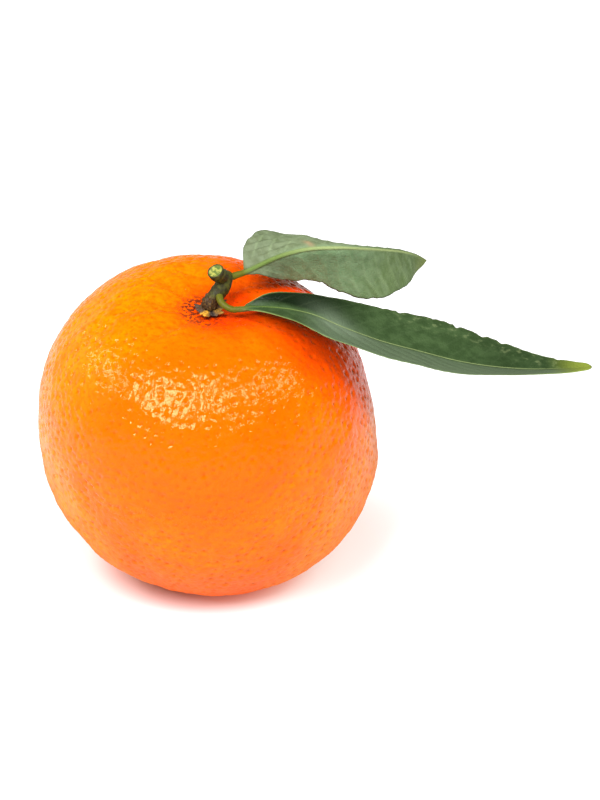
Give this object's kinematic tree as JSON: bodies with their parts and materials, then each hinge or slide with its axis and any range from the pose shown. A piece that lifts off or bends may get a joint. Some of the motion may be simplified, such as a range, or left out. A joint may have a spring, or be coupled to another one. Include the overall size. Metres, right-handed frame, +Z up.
{
  "type": "tangerine",
  "caption": "Whole tangerine with pitted orange rind, resting on its underside, with a short cut stem and leaves that reach out to one side.",
  "frame": {"origin": "on the surface that the fruit rests on, straight under the fruit's middle, inside its flat resting spot", "axes": "+Z up, +X along the spread of the leaves, and the stem end leans a little towards -Y"},
  "size_m": [0.1042, 0.0652, 0.068],
  "materials": {
    "peel": "waxy orange rind with oil gland pits",
    "calyx": "dried brown and olive sepals",
    "stem": "green bark, brown and corky at the foot",
    "leaf_face": "dark green and waxy above, paler below",
    "leaf_underside": "matte grey green below, darker above"
  },
  "bodies": {
    "root": {"fruit": "peel", "calyx": "calyx", "stem": "stem", "leaf_lower": "leaf_face", "leaf_upper": "leaf_underside"}
  },
  "joints": []
}
